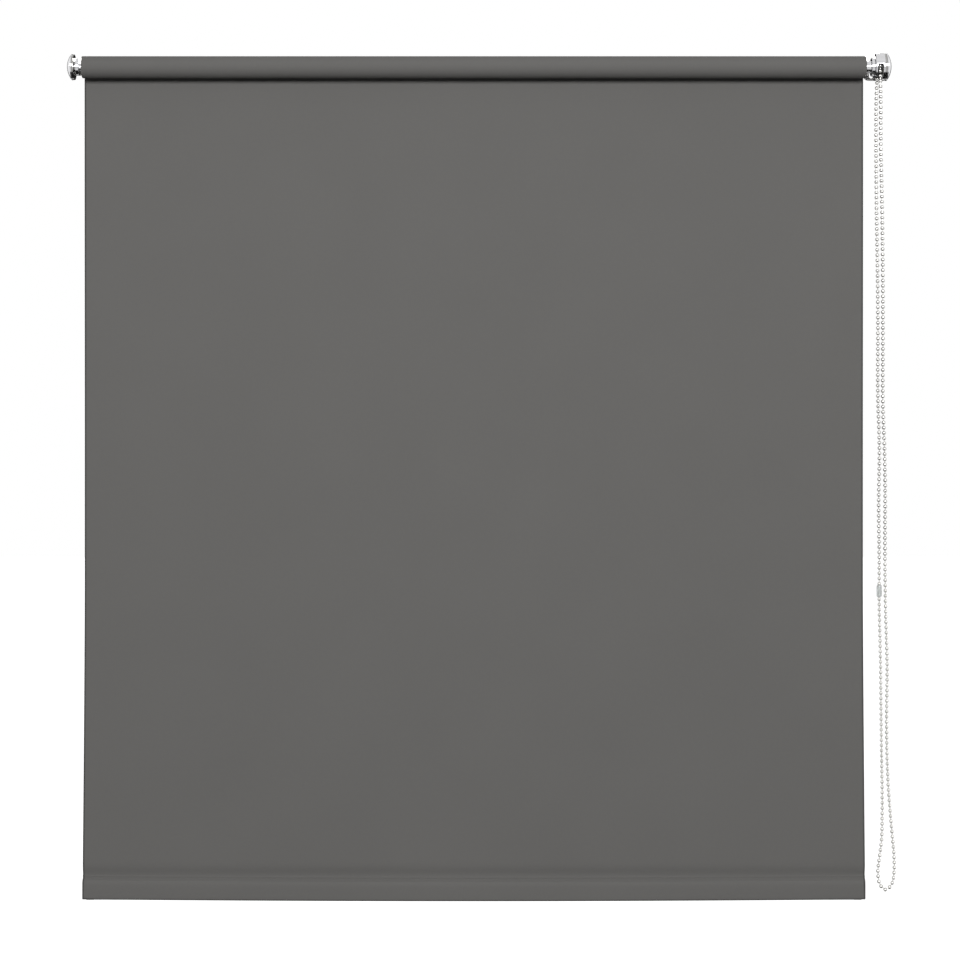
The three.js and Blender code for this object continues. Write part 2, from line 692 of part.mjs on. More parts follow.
// Idle end: a plug in the tube with a sprung pin, which turns in a socket on the bracket.
add(
  axis,
  "idle_socket",
  turned([
    [idlePlateLeft - 1, pinBore],
    [socketRight, pinBore],
    [socketRight, SOCKET_DIAMETER / 2],
    [socketLeft, SOCKET_DIAMETER / 2],
    [socketLeft, SOCKET_NECK_DIAMETER / 2],
    [idlePlateRight + GAP, SOCKET_NECK_DIAMETER / 2],
    [idlePlateRight + GAP, spigotRadius],
    [idlePlateLeft - 1, spigotRadius],
  ], 36),
  "chrome",
);
add(
  axis,
  "idle_plug",
  turned([
    [-half, pinBore],
    [-half + IDLE_PLUG_MOUTH, pinBore],
    [-half + IDLE_PLUG_MOUTH, plugChamber],
    [idlePlugRight, plugChamber],
    [idlePlugRight, plugRadius],
    [-half, plugRadius],
  ], ROUND_FACETS),
  "whitePlastic",
);
const pinChamfer = 1;
add(
  axis,
  "idle_pin",
  turned([
    [pinTip, 0],
    [pinFlangeRight + PIN_TAIL_LENGTH, 0],
    [pinFlangeRight + PIN_TAIL_LENGTH, PIN_TAIL_DIAMETER / 2],
    [pinFlangeRight, PIN_TAIL_DIAMETER / 2],
    [pinFlangeRight, PIN_FLANGE_DIAMETER / 2],
    [pinFlangeLeft, PIN_FLANGE_DIAMETER / 2],
    [pinFlangeLeft, pinRadius],
    [pinTip + pinChamfer, pinRadius],
    [pinTip, pinRadius - pinChamfer],
  ]),
  "chrome",
);
const idleSpringRadius = PIN_TAIL_DIAMETER / 2 + RUNNING_CLEARANCE + IDLE_SPRING_WIRE / 2;
add(
  axis,
  "idle_spring",
  helix(
    pinFlangeRight + GAP,
    springSeatLeft - GAP,
    idleSpringRadius,
    IDLE_SPRING_WIRE,
    IDLE_SPRING_TURNS,
    10,
    6,
  ),
  "steel",
);
const seatRadius = plugChamber - GAP;
add(
  axis,
  "spring_seat",
  rod(springSeatLeft, springSeatLeft + SPRING_SEAT_THICKNESS, seatRadius),
  "whitePlastic",
);

export default blind;
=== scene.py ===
import math

import bmesh
import bpy
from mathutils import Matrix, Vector


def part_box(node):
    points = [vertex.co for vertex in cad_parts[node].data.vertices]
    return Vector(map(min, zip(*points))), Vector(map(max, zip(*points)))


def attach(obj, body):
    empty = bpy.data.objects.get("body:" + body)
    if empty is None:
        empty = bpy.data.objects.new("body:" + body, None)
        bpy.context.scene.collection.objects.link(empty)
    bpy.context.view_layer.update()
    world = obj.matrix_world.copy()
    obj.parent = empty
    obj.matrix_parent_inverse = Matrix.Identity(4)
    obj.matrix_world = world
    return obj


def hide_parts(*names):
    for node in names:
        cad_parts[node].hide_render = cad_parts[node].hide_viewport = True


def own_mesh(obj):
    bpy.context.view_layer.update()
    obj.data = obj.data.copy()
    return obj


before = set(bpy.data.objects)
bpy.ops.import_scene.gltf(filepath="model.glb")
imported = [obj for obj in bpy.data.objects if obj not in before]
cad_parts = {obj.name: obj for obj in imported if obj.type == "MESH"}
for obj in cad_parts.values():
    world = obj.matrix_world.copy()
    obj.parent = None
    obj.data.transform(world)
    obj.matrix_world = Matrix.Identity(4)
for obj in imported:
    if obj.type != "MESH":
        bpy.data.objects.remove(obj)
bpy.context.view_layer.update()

# ---- The studio ---------------------------------------------------------------------------------
# A pale floor far below the blind, a white surround, and one broad soft light in front of the blind
# and a little above the roller. Dark cloth behind and underneath draws black lines on the chrome, and
# only a tenth of the surround lights the matt pieces, so that the softbox shapes them.
scene = bpy.context.scene
scene.view_settings.view_transform = "Standard"
scene.view_settings.look = "None"


def linear(code):
    """An sRGB hex colour as linear RGBA."""
    channels = [int(code[i:i + 2], 16) / 255 for i in (1, 3, 5)]
    return [c / 12.92 if c <= 0.04045 else ((c + 0.055) / 1.055) ** 2.4 for c in channels] + [1]


def add_node(tree, kind, settings=(), links=()):
    """A node with its settings, {name or input: value}, and its links, {input: output socket}."""
    made = tree.nodes.new(kind)
    for name, value in dict(settings).items():
        if isinstance(name, str) and hasattr(made, name):
            setattr(made, name, value)
        else:
            made.inputs[name].default_value = value
    for name, output in dict(links).items():
        tree.links.new(output, made.inputs[name])
    return made


def grey_ramp(tree, value, stops):
    """A value from -1 to 1 turned into grey levels by (value, level) stops."""
    moved = add_node(
        tree, "ShaderNodeMapRange", {"From Min": -1.0, "From Max": 1.0}, {"Value": value})
    ramp = add_node(tree, "ShaderNodeValToRGB", links={0: moved.outputs[0]})
    elements = ramp.color_ramp.elements
    while len(elements) < len(stops):
        elements.new(0.5)
    for element, (place, level) in zip(elements, stops):
        element.position = (place + 1) / 2
        element.color = (level, level, level, 1)
    return ramp.outputs[0]


world = bpy.data.worlds.new("studio")
scene.world = world
world.use_nodes = True
sky = world.node_tree
sky.nodes.clear()
direction = add_node(sky, "ShaderNodeTexCoord").outputs["Generated"]
axes = add_node(sky, "ShaderNodeSeparateXYZ", links={0: direction}).outputs
front_to_back = grey_ramp(sky, axes["Y"], [(-1, 0.7), (-0.6, 1), (0.72, 1), (0.9, 0.02)])
down_to_up = grey_ramp(sky, axes["Z"], [(-0.82, 0.01), (-0.7, 0.85), (0.3, 1), (1, 0.8)])
panels = add_node(
    sky, "ShaderNodeMix", {"data_type": "RGBA", "blend_type": "MULTIPLY", 0: 1.0},
    {6: front_to_back, 7: down_to_up},
)
ray = add_node(sky, "ShaderNodeLightPath").outputs
strength = add_node(
    sky, "ShaderNodeMapRange", {"To Min": 1.0, "To Max": 0.1}, {"Value": ray["Is Diffuse Ray"]})
reflected = add_node(
    sky, "ShaderNodeBackground",
    links={"Color": panels.outputs[2], "Strength": strength.outputs[0]},
)
seen = add_node(sky, "ShaderNodeBackground", {"Color": (1, 1, 1, 1), "Strength": 1.0})
either = add_node(
    sky, "ShaderNodeMixShader",
    links={0: ray["Is Camera Ray"], 1: reflected.outputs[0], 2: seen.outputs[0]},
)
add_node(sky, "ShaderNodeOutputWorld", links={"Surface": either.outputs[0]})

floor_material = bpy.data.materials.new("pale floor")
floor_material.use_nodes = True
floor_shader = floor_material.node_tree.nodes["Principled BSDF"]
floor_shader.inputs["Base Color"].default_value = linear("#FAFAF9")
floor_shader.inputs["Roughness"].default_value = 0.9
floor_shader.inputs["Emission Color"].default_value = (1, 1, 1, 1)
floor_shader.inputs["Emission Strength"].default_value = 1.0
bpy.ops.mesh.primitive_plane_add(size=60, location=(0, 0, -1.6))
floor = bpy.context.object
floor.name = "floor"
floor.data.materials.append(floor_material)
floor.visible_diffuse = False
floor.visible_glossy = False

softbox = bpy.data.lights.new("softbox", "AREA")
softbox.shape = "RECTANGLE"
softbox.size, softbox.size_y = 3.2, 1.0
softbox.energy = 106
lamp = bpy.data.objects.new("softbox", softbox)
scene.collection.objects.link(lamp)
lamp.location = (0.1, -3.4, 0.65)
lamp.rotation_euler = (Vector((0, 0, -0.9)) - lamp.location).to_track_quat("-Z", "Y").to_euler()

lens = bpy.data.cameras.new("camera")
lens.sensor_width = 36
lens.lens = 84.34
camera = bpy.data.objects.new("camera", lens)
scene.collection.objects.link(camera)
camera.location = (0.0071, -2.6195, -0.47485)
camera.rotation_euler = (math.radians(90), 0, 0)
scene.camera = camera

# ---- The hanging chain --------------------------------------------------------------------------
# A ball chain of nickel-plated steel: hollow 4.5 mm balls on short wire links, 6 mm apart. It leaves
# the sprocket on the room side, hangs in one loop and comes back up on the wall side.
BEAD = 0.0045
BEAD_PITCH = 0.006
WIRE = 0.0011
AXIS_Y = -0.032
BEAD_STEP = BEAD_PITCH / 2
CHAIN_DOWN = [
    (0.0001, -0.0097, -0.0086), (0.0006, -0.0097, -0.045), (0.0007, -0.0097, -0.095),
    (0.0021, -0.0097, -0.16), (0.003, -0.0097, -0.24), (0.0031, -0.0097, -0.32),
    (0.003, -0.0097, -0.385), (0.0049, -0.0097, -0.44), (0.0057, -0.0096, -0.49),
    (0.0055, -0.0094, -0.55), (0.0061, -0.0092, -0.615), (0.0081, -0.0089, -0.69),
    (0.0075, -0.0084, -0.755), (0.009, -0.0078, -0.815), (0.0119, -0.0068, -0.855),
    (0.0148, -0.0054, -0.885), (0.017, -0.0038, -0.908), (0.0172, -0.0024, -0.925),
    (0.0149, -0.0012, -0.939), (0.0084, 0, -0.9462), (0.0019, 0.0012, -0.941),
    (-0.0005, 0.0026, -0.9275), (0.0013, 0.004, -0.911), (0.0042, 0.0056, -0.89),
    (0.0054, 0.0074, -0.85), (0.0048, 0.0088, -0.79), (0.0043, 0.0095, -0.735),
    (0.0037, 0.0097, -0.68), (0.0027, 0.0097, -0.64), (0.0022, 0.0097, -0.6103),
]
CHAIN_UP = [
    (0.0022, 0.0097, -0.5957), (0.0023, 0.0097, -0.56), (0.0016, 0.0097, -0.505),
    (0.0025, 0.0097, -0.44), (0.0007, 0.0097, -0.375), (0.0008, 0.0097, -0.3),
    (0.0003, 0.0097, -0.235), (-0.0009, 0.0097, -0.157), (-0.0014, 0.0097, -0.085),
    (-0.0012, 0.0097, -0.038), (0, 0.0097, -0.0086),
]


def material(name, colour, roughness, metallic=0.0, **inputs):
    """A Principled material with its constant values on the shader's own sockets."""
    made = bpy.data.materials.new(name)
    made.use_nodes = True
    shader = made.node_tree.nodes["Principled BSDF"]
    shader.inputs["Base Color"].default_value = linear(colour)
    shader.inputs["Roughness"].default_value = roughness
    shader.inputs["Metallic"].default_value = metallic
    for key, value in inputs.items():
        shader.inputs[key.replace("_", " ")].default_value = value
    return made, made.node_tree, shader


def object_places(tree, stretch=(1, 1, 1)):
    """Object coordinates, stretched for a pattern that runs along the piece."""
    places = add_node(tree, "ShaderNodeTexCoord").outputs["Object"]
    return add_node(tree, "ShaderNodeMapping", {"Scale": stretch}, {0: places}).outputs[0]


def uneven(tree, shader, places, grain, low, high):
    """Lets the roughness wander from low to high, in patches about grain metres across."""
    noise = add_node(
        tree, "ShaderNodeTexNoise", {"Scale": 1 / grain, "Detail": 3.0}, {"Vector": places})
    spread = add_node(
        tree, "ShaderNodeMapRange",
        {"From Min": 0.3, "From Max": 0.7, "To Min": low, "To Max": high},
        {"Value": noise.outputs["Fac"]},
    )
    tree.links.new(spread.outputs[0], shader.inputs["Roughness"])
    return noise.outputs["Fac"]


def bumped(tree, shader, height, distance):
    bump = add_node(tree, "ShaderNodeBump", {"Distance": distance}, {"Height": height})
    tree.links.new(bump.outputs["Normal"], shader.inputs["Normal"])


# Barrel-polished nickel plate: a warm grey metal, bright, slightly uneven from ball to ball.
nickel, nickel_tree, nickel_shader = material("nickel-plated steel balls", "#D9D8D5", 0.14, 1.0)
uneven(nickel_tree, nickel_shader, object_places(nickel_tree), 0.0011, 0.08, 0.22)


def through(points, per_span=12):
    """A smooth line through the points, with straight ends."""
    knots = [Vector(p) for p in points]
    knots = [2 * knots[0] - knots[1], *knots, 2 * knots[-1] - knots[-2]]
    line = []
    for a, b, c, d in zip(knots, knots[1:], knots[2:], knots[3:]):
        first, middle, last = ((q - p).length ** 0.5 for p, q in ((a, b), (b, c), (c, d)))
        for i in range(per_span):
            u = first + middle * i / per_span
            ab = a.lerp(b, u / first)
            bc = b.lerp(c, (u - first) / middle)
            cd = c.lerp(d, (u - first - middle) / last)
            abc = ab.lerp(bc, u / (first + middle))
            bcd = bc.lerp(cd, (u - first) / (middle + last))
            line.append(abc.lerp(bcd, (u - first) / middle))
    return line + [knots[-2]]


def length_of(line):
    return sum((b - a).length for a, b in zip(line, line[1:]))


def bead_tree():
    """Geometry Nodes: balls at equal steps along a line, and the wire that joins them."""
    tree = bpy.data.node_groups.new("ball chain", "GeometryNodeTree")
    sockets = (
        ("Line", "INPUT", "NodeSocketGeometry"), ("Pitch", "INPUT", "NodeSocketFloat"),
        ("Ball radius", "INPUT", "NodeSocketFloat"), ("Wire radius", "INPUT", "NodeSocketFloat"),
        ("Finish", "INPUT", "NodeSocketMaterial"), ("Chain", "OUTPUT", "NodeSocketGeometry"),
    )
    for name, way, kind in sockets:
        tree.interface.new_socket(name, in_out=way, socket_type=kind)
    given = add_node(tree, "NodeGroupInput").outputs
    line = add_node(tree, "GeometryNodeMeshToCurve", links={"Mesh": given["Line"]})
    stepped = add_node(
        tree, "GeometryNodeResampleCurve", {"mode": "LENGTH"},
        {"Curve": line.outputs[0], "Length": given["Pitch"]},
    )
    ball = add_node(
        tree, "GeometryNodeMeshUVSphere", {"Segments": 10, "Rings": 7},
        {"Radius": given["Ball radius"]},
    )
    along = add_node(tree, "GeometryNodeInputTangent")
    turn = add_node(
        tree, "FunctionNodeAlignRotationToVector", {"axis": "Z"}, {"Vector": along.outputs[0]})
    balls = add_node(
        tree, "GeometryNodeInstanceOnPoints",
        links={"Points": stepped.outputs[0], "Instance": ball.outputs["Mesh"],
               "Rotation": turn.outputs[0]},
    )
    ring = add_node(
        tree, "GeometryNodeCurvePrimitiveCircle", {"Resolution": 6},
        {"Radius": given["Wire radius"]},
    )
    wire = add_node(
        tree, "GeometryNodeCurveToMesh", {"Fill Caps": True},
        {"Curve": stepped.outputs[0], "Profile Curve": ring.outputs[0]},
    )
    both = add_node(tree, "GeometryNodeJoinGeometry")
    tree.links.new(balls.outputs[0], both.inputs[0])
    tree.links.new(wire.outputs[0], both.inputs[0])
    real = add_node(tree, "GeometryNodeRealizeInstances", links={0: both.outputs[0]})
    smooth = add_node(
        tree, "GeometryNodeSetShadeSmooth", {"Shade Smooth": True}, {0: real.outputs[0]})
    finished = add_node(
        tree, "GeometryNodeSetMaterial",
        links={"Geometry": smooth.outputs[0], "Material": given["Finish"]},
    )
    add_node(tree, "NodeGroupOutput", links={0: finished.outputs[0]})
    return tree


def grown(name, points, tree, values):
    """The tree's result on a line through the points, as a plain mesh object at the origin."""
    seed = bpy.data.meshes.new(name + "_line")
    seed.from_pydata([tuple(p) for p in points], [(i, i + 1) for i in range(len(points) - 1)], [])
    grower = bpy.data.objects.new(name + "_line", seed)
    scene.collection.objects.link(grower)
    modifier = grower.modifiers.new("grow", "NODES")
    modifier.node_group = tree
    sockets = {s.name: s.identifier for s in tree.interface.items_tree if s.in_out == "INPUT"}
    for key, value in values.items():
        modifier[sockets[key]] = value
    shown = grower.evaluated_get(bpy.context.evaluated_depsgraph_get())
    mesh = bpy.data.meshes.new_from_object(shown)
    bpy.data.objects.remove(grower)
    made = bpy.data.objects.new(name, mesh)
    scene.collection.objects.link(made)
    return made


chain_tree = bead_tree()


def ball_chain(name, points):
    span = length_of([Vector(p) for p in points])
    return grown(name, points, chain_tree, {
        "Pitch": span / round(span / BEAD_PITCH), "Ball radius": BEAD / 2,
        "Wire radius": WIRE / 2, "Finish": nickel,
    })


sprocket_low, sprocket_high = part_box("chain_on_sprocket")
sprocket_middle = Vector(((sprocket_low[0] + sprocket_high[0]) / 2, AXIS_Y, 0))
chain_line = [sprocket_middle + p for p in through(CHAIN_DOWN + CHAIN_UP)]
chain_line[0].z -= BEAD_STEP
chain_line[-1].z -= BEAD_STEP
bead_chain = ball_chain("bead_chain", chain_line)
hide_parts("chain_front", "chain_back")
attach(bead_chain, "root")

# ---- The chain on the sprocket ------------------------------------------------------------------
# The same chain where it lies in the sprocket's pockets: half a turn, and one more ball on each side.
POCKETS = 10
pitch_radius = BEAD_PITCH / (2 * math.sin(math.pi / POCKETS))
wrapped = [Vector((0, pitch_radius, -BEAD_PITCH))]
for i in range(POCKETS // 2 + 1):
    angle = 2 * math.pi * i / POCKETS
    wrapped.append(Vector((0, pitch_radius * math.cos(angle), pitch_radius * math.sin(angle))))
wrapped.append(Vector((0, -pitch_radius, -BEAD_PITCH)))
sprocket_chain = ball_chain("sprocket_chain", [sprocket_middle + p for p in wrapped])
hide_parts("chain_on_sprocket")
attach(sprocket_chain, "root")

# ---- The chain connector ------------------------------------------------------------------------
# A clear polycarbonate capsule that snaps over two balls and closes the chain into a loop. Its ends
# are open for the wire.
connector_low, connector_high = (Vector(c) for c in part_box("chain_connector"))
CAPSULE_WALL = 0.0007
CAPSULE_END = 0.0019  # the rounding of its ends
SMOOTH_UP_TO = math.radians(32)  # faces that meet at less than this are shaded as one surface


def mesh_object(name, points, faces, finish):
    """A mesh object at the origin, with its doubles merged and its faces turned outwards."""
    mesh = bpy.data.meshes.new(name)
    mesh.from_pydata([tuple(p) for p in points], [], faces)
    work = bmesh.new()
    work.from_mesh(mesh)
    bmesh.ops.remove_doubles(work, verts=work.verts, dist=1e-6)
    bmesh.ops.recalc_face_normals(work, faces=work.faces)
    work.to_mesh(mesh)
    work.free()
    mesh.shade_smooth()
    mesh.set_sharp_from_angle(angle=SMOOTH_UP_TO)
    mesh.materials.append(finish)
    made = bpy.data.objects.new(name, mesh)
    scene.collection.objects.link(made)
    return made


def revolved(name, profile, centre, axis, finish, steps=64):
    """A closed outline of (along, radius) points, turned about the axis through centre."""
    centre, axis = Vector(centre), Vector(axis).normalized()
    side = axis.orthogonal().normalized()
    other = axis.cross(side)
    points, faces, n = [], [], len(profile)
    for i in range(steps):
        angle = 2 * math.pi * i / steps
        out = side * math.cos(angle) + other * math.sin(angle)
        points += [centre + axis * a + out * r for a, r in profile]
        j = (i + 1) % steps
        for k in range(n):
            m = (k + 1) % n
            corners = [i * n + k, i * n + m]
            corners += [j * n + m] if profile[m][1] > 0 else []
            corners += [j * n + k] if profile[k][1] > 0 else []
            if len(corners) > 2:
                faces.append(corners)
    return mesh_object(name, points, faces, finish)


def rounded(corners, radii, steps=4):
    """An outline whose corners are each rounded to their own radius."""
    points = []
    for i, (corner, radius) in enumerate(zip(corners, radii)):
        p = Vector(corner)
        if radius == 0:
            points.append(tuple(p))
            continue
        before = Vector(corners[i - 1]) - p
        after = Vector(corners[(i + 1) % len(corners)]) - p
        cut = radius / math.tan(before.angle(after) / 2)
        a, b = p + before.normalized() * cut, p + after.normalized() * cut
        points += [tuple(a.lerp(p, k / steps).lerp(p.lerp(b, k / steps), k / steps))
                   for k in range(steps + 1)]
    return points


# Injection-moulded polycarbonate: clear and glossy, and a little cloudy from handling.
clear, clear_tree, clear_shader = material(
    "clear polycarbonate", "#F2F5F5", 0.12, IOR=1.58, Transmission_Weight=0.7)
uneven(clear_tree, clear_shader, object_places(clear_tree), 0.0014, 0.08, 0.22)

reach = (connector_high.z - connector_low.z) / 2
girth = (connector_high.x - connector_low.x) / 2
mouth = BEAD / 4
capsule_outline = rounded(
    [
        (-reach, mouth), (-reach, girth), (reach, girth), (reach, mouth),
        (reach - CAPSULE_WALL, mouth), (reach - CAPSULE_WALL, girth - CAPSULE_WALL),
        (CAPSULE_WALL - reach, girth - CAPSULE_WALL), (CAPSULE_WALL - reach, mouth),
    ],
    [0, CAPSULE_END, CAPSULE_END, 0, 0, CAPSULE_END - CAPSULE_WALL, CAPSULE_END - CAPSULE_WALL, 0],
)
capsule = revolved(
    "connector_capsule", capsule_outline, (connector_low + connector_high) / 2, (0, 0, 1), clear, 40)
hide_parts("chain_connector")
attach(capsule, "chain_connector")

# ---- The cloth on the roller --------------------------------------------------------------------
# Blackout cloth: plain-woven grey polyester with an acrylic foam coating, cut with a hot knife. Three
# turns stay wound when the blind is down, each a little to one side of the last.
CLOTH = 0.00042
TURNS = 3
ENDS_APART = 0.0004  # from one turn's edge to the next
OUTER_TURN_RIGHT = 0.0004  # how far the turns stand out at the roll's right end
OUTER_TURN_LEFT = 0.0002
SOFT = 0.0001  # the rounding of a turn's edge
roll_low, roll_high = (Vector(c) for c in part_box("fabric_roll"))
roll_radius = (roll_high.z - roll_low.z) / 2
half_width = roll_high.x

# Matt coated cloth: hardly any shine, a fine weave, and a faint cloudiness from the coating. The hot
# cut leaves a darker line along each side edge, and painted shade makes the crease under the hem as dark.
THREADS_APART = 0.0007  # twice the real spacing, so that the weave shows
BANDS = 2 * math.pi / 20  # of a wave texture at scale 1, in metres
CUT_EDGE = 0.0024
CLOTH_GREY = "#6C6B69"
cloth, cloth_tree, cloth_shader = material(
    "blackout polyester cloth", CLOTH_GREY, 0.86, IOR=1.5, Sheen_Weight=0.05)
cloth_places = object_places(cloth_tree)


def cloth_maths(operation, first, second, third=0.0):
    """A Math node on the cloth's values, each a number or an output socket."""
    values = {0: first, 1: second, 2: third}
    constant = {k: v for k, v in values.items() if isinstance(v, (int, float))}
    linked = {k: v for k, v in values.items() if k not in constant}
    return add_node(
        cloth_tree, "ShaderNodeMath", {"operation": operation, **constant}, linked).outputs[0]


def threads(way):
    return add_node(
        cloth_tree, "ShaderNodeTexWave",
        {"bands_direction": way, "Scale": BANDS / THREADS_APART, "Distortion": 0.4,
         "Detail": 1.0, "Detail Scale": 0.5},
        {"Vector": cloth_places},
    ).outputs["Fac"]


def cloth_noise(grain, detail):
    return add_node(
        cloth_tree, "ShaderNodeTexNoise", {"Scale": 1 / grain, "Detail": detail},
        {"Vector": cloth_places},
    ).outputs["Fac"]


weave = cloth_maths("MULTIPLY", threads("X"), threads("Z"))
shade = cloth_maths("MULTIPLY_ADD", cloth_noise(0.11, 5.0), 0.08, 0.9)
shade = cloth_maths("MULTIPLY_ADD", weave, 0.08, shade)
shade = cloth_maths("MULTIPLY_ADD", cloth_noise(0.004, 2.0), 0.05, shade)
edge = add_node(cloth_tree, "ShaderNodeAttribute", {"attribute_name": "edge"}).outputs["Fac"]
# Darker along each hot-cut side edge, and painted shade in the crease under the hem, down to a third.
cut_edge_and_crease_shade = add_node(
    cloth_tree, "ShaderNodeMapRange",
    {"From Min": 1 - CUT_EDGE / half_width, "From Max": 1 - CUT_EDGE / half_width / 3,
     "To Min": 1.0, "To Max": 0.32},
    {"Value": edge},
).outputs[0]
coloured = add_node(
    cloth_tree, "ShaderNodeMix",
    {"data_type": "RGBA", "blend_type": "MULTIPLY", 0: 1.0, 6: linear(CLOTH_GREY)},
    {7: cloth_maths("MULTIPLY", shade, cut_edge_and_crease_shade)},
)
cloth_tree.links.new(coloured.outputs[2], cloth_shader.inputs["Base Color"])
bumped(cloth_tree, cloth_shader, weave, 0.00006)


def roll_end(right):
    """(x, radius) down one end of the roll, over the edges of its turns, outermost first."""
    steps = []
    for turn in range(TURNS):
        out = half_width - turn * ENDS_APART + (OUTER_TURN_RIGHT if right else OUTER_TURN_LEFT)
        top = roll_radius - turn * CLOTH
        steps += [(out - SOFT, top), (out, top - SOFT), (out, top - CLOTH + SOFT)]
        steps.append((out - ENDS_APART, top - CLOTH))
    return steps if right else [(-x, r) for x, r in reversed(steps)]


roll = revolved(
    "cloth_roll", roll_end(False) + roll_end(True), (0, AXIS_Y, 0), (1, 0, 0), cloth, 96)
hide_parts("fabric_roll")
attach(roll, "roller")

# ---- The hanging cloth --------------------------------------------------------------------------
# The same cloth, 900 mm wide, leaving the back of the roll and hanging straight to the hem. Its side
# edges cup slightly towards the wall.
hem_low, hem_high = (Vector(c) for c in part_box("hem_pocket"))
hem_middle = (hem_low.y + hem_high.y) / 2
WELD = 0.004  # the strip above the pocket where the two layers are welded together
WRAP = math.radians(26)  # of the roll's back that the hanging piece covers
BOW = 0.0021  # the middle of the hem hangs lower than its ends, because the tube bends
BOW_BELOW = 0.42  # the share of the bow that hangs below the hem's mean height
CUP = 0.0014  # how far the side edges turn back, halfway down
CUP_POWER = 24  # keeps the cup to the outer few centimetres
RIPPLE = 0.0005
RIPPLE_ACROSS = (9.3, 3.3)  # radians per metre across, in its two waves
RIPPLE_DOWN = (2.1, 5.2)  # radians from the roll to the hem
FLARE = 0.0024  # each side edge stands this much wider at the hem
FLARE_FROM = 0.6  # below the axis
FLARE_HEIGHT = 0.35
FLARE_CURVE = 1.4
LIP_THINNED = 0.85  # of the cloth's thickness, where the hanging piece runs out on the roll
SETTLE = 0.008  # the height in which the cloth turns back to the weld
SET_BACK = 0.0022  # the weld, behind the middle of the bar
# Painted shade darkens this band along the bottom of the hem.
CREASE_SHADE_HEIGHT = 0.0011  # the height of the crease under the hem


def bow_at(x):
    """How far the hem hangs from its mean height."""
    return BOW * (x / half_width) ** 2 - BOW_BELOW * BOW


def flared(x, z):
    """x on the cloth, which keeps its width in the upper part and then widens towards the hem."""
    down = min(1, max(0, (-z - FLARE_FROM) / FLARE_HEIGHT))
    return x * (1 + FLARE / half_width * down ** FLARE_CURVE)


def mark_cut_edges_and_painted_crease(piece):
    """Notes on each point how near an edge it lies: 0 in the middle, 1 at a cut side, and 1 in the crease
    under the hem, which the cloth darkens as painted shade.
    """
    nearness = piece.data.attributes.new("edge", "FLOAT", "POINT")
    for value, vertex in zip(nearness.data, piece.data.vertices):
        place = vertex.co
        in_painted_crease = place.z < hem_low.z + bow_at(place.x) + CREASE_SHADE_HEIGHT
        value.value = 1 if in_painted_crease else abs(place.x) / flared(half_width, place.z)


def spaced_across(columns):
    """Places across the cloth from -1 to 1, with one more beside each cut edge."""
    strip = 1 - CUT_EDGE / half_width
    inner = [strip * (2 * c / columns - 1) for c in range(columns + 1)]
    return [-1, -0.5 - strip / 2, *inner, 0.5 + strip / 2, 1]


def sheet_row(down, columns=60, wrap_share=0.1):
    """Points across the cloth with their outward direction and thickness; down is from 0 to 1."""
    row = []
    hang = (down - wrap_share) / (1 - wrap_share)
    for x in (half_width * share for share in spaced_across(columns)):
        if hang < 0:
            angle = WRAP * -hang * (1 - wrap_share) / wrap_share
            thick = CLOTH * (1 - LIP_THINNED * angle / WRAP)
            out = Vector((0, math.cos(angle), math.sin(angle)))
            place = Vector((x, AXIS_Y, 0)) + out * (roll_radius + thick / 2)
            row.append((place, out, thick))
            continue
        belly = math.sin(math.pi * hang) ** 2
        z = hang * (hem_high.z - WELD / 2 + bow_at(x))
        y = AXIS_Y + roll_radius + CLOTH / 2 + CUP * belly * abs(x / half_width) ** CUP_POWER
        waves = [math.sin(a * x + d * hang) for a, d in zip(RIPPLE_ACROSS, RIPPLE_DOWN)]
        y += RIPPLE * belly * waves[0] * waves[1]
        settle = math.exp(-((z - hem_high.z) / SETTLE) ** 2)
        y += settle * (hem_middle + SET_BACK - y)
        row.append((Vector((flared(x, z), y, z)), Vector((0, 1, 0)), CLOTH))
    return row


def thick_sheet(name, rows, finish):
    """A closed sheet, its thickness split either side of the rows' points."""
    columns = len(rows[0])
    points = [p + out * t / 2 for row in rows for p, out, t in row]
    points += [p - out * t / 2 for row in rows for p, out, t in row]
    back = len(rows) * columns
    faces = []
    for r in range(len(rows) - 1):
        for a in range(r * columns, r * columns + columns - 1):
            b, d, e = a + 1, a + columns, a + columns + 1
            faces += [(a, b, e, d), (back + a, back + d, back + e, back + b)]
    rim = list(range(columns))
    rim += [r * columns + columns - 1 for r in range(1, len(rows))]
    rim += [(len(rows) - 1) * columns + c for c in range(columns - 2, -1, -1)]
    rim += [r * columns for r in range(len(rows) - 2, 0, -1)]
    faces += [(a, back + a, back + b, b) for a, b in zip(rim, rim[1:] + rim[:1])]
    return mesh_object(name, points, faces, finish)


ROWS = 80
HEM_ROWS = 16
NEAR_HEM = 0.035  # the share of the cloth above the weld that has the closer rows
near_hem = [1 - NEAR_HEM * k / HEM_ROWS for k in range(HEM_ROWS, -1, -1)]
row_places = [(1 - NEAR_HEM) * r / ROWS for r in range(ROWS)] + near_hem
sheet = thick_sheet("hanging_cloth", [sheet_row(d) for d in row_places], cloth)
mark_cut_edges_and_painted_crease(sheet)
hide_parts("fabric_sheet")
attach(sheet, "root")


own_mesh(sheet)

# ---- The hem ------------------------------------------------------------------------------------
# The cloth's end is folded forwards round the bottom bar and welded to itself along a 4 mm strip,
# which leaves a shallow line across the front.
pocket = (hem_high.y - hem_low.y) / 2  # half the pocket's thickness
hem_height = hem_high.z - hem_low.z


